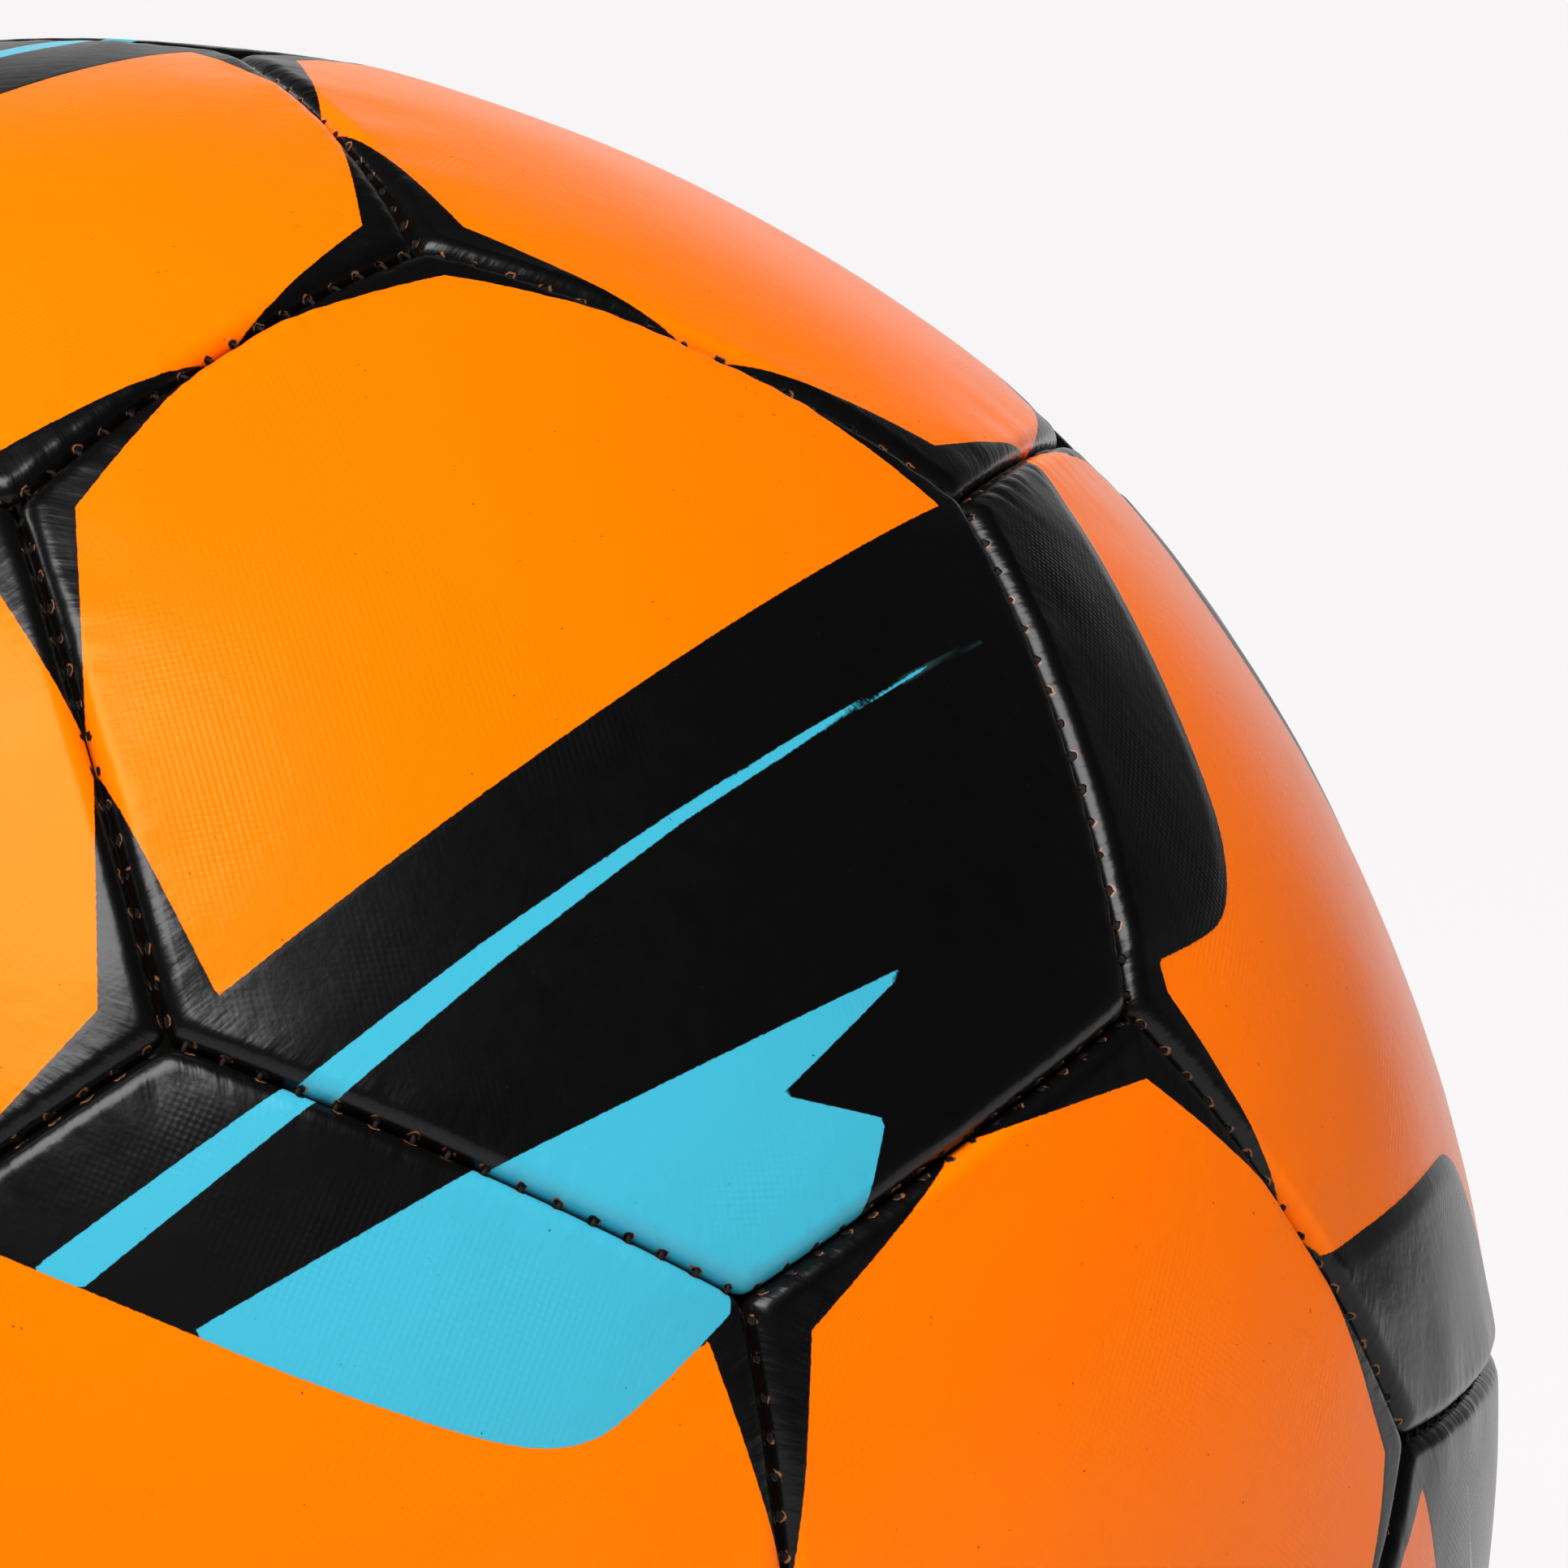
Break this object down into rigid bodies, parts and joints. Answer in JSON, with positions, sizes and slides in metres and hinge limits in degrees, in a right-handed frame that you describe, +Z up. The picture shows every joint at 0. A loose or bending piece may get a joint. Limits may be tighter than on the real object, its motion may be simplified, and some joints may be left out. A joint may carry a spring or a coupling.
{
  "type": "soccer ball",
  "caption": "Inflated football of stitched hexagon and pentagon panels with a needle valve, printed in orange, black and pale blue.",
  "frame": {"origin": "the ball's centre", "axes": "+Z up, +Y out along the needle valve, which is in the middle of the hexagon at the back; -Y is the middle of the nose hexagon at the front"},
  "size_m": [0.2188, 0.2172, 0.2192],
  "materials": {
    "cover": "glossy printed synthetic leather, orange with black and pale blue print",
    "foam": "matt closed cell foam",
    "lining": "plain woven cotton and polyester",
    "thread": "waxed black polyester thread",
    "bladder_rubber": "matt black butyl rubber",
    "valve_rubber": "satin black rubber"
  },
  "bodies": {
    "root": {"back_hexagon_1": "cover", "back_hexagon_2": "cover", "back_hexagon_3": "cover", "back_pentagon_1": "cover", "back_pentagon_2": "cover", "back_pentagon_3": "cover", "bladder": "bladder_rubber", "front_hexagon_1": "cover", "front_hexagon_2": "cover", "front_hexagon_3": "cover", "front_pentagon_1": "cover", "front_pentagon_2": "cover", "front_pentagon_3": "cover", "front_waist_hexagon_1": "cover", "front_waist_hexagon_2": "cover", "front_waist_hexagon_3": "cover", "front_waist_hexagon_4": "cover", "front_waist_hexagon_5": "cover", "front_waist_hexagon_6": "cover", "front_waist_pentagon_1": "cover", "front_waist_pentagon_2": "cover", "front_waist_pentagon_3": "cover", "hexagon_foams": "foam", "hexagon_linings": "lining", "hexagon_seam_threads": "thread", "nose_hexagon": "cover", "pentagon_foams": "foam", "pentagon_linings": "lining", "pentagon_seam_threads": "thread", "rear_waist_hexagon_1": "cover", "rear_waist_hexagon_2": "cover", "rear_waist_hexagon_3": "cover", "rear_waist_hexagon_4": "cover", "rear_waist_hexagon_5": "cover", "rear_waist_hexagon_6": "cover", "rear_waist_pentagon_1": "cover", "rear_waist_pentagon_2": "cover", "rear_waist_pentagon_3": "cover", "valve_hexagon": "cover", "valve_housing": "valve_rubber", "valve_patch": "lining", "valve_plug": "valve_rubber"}
  },
  "joints": []
}
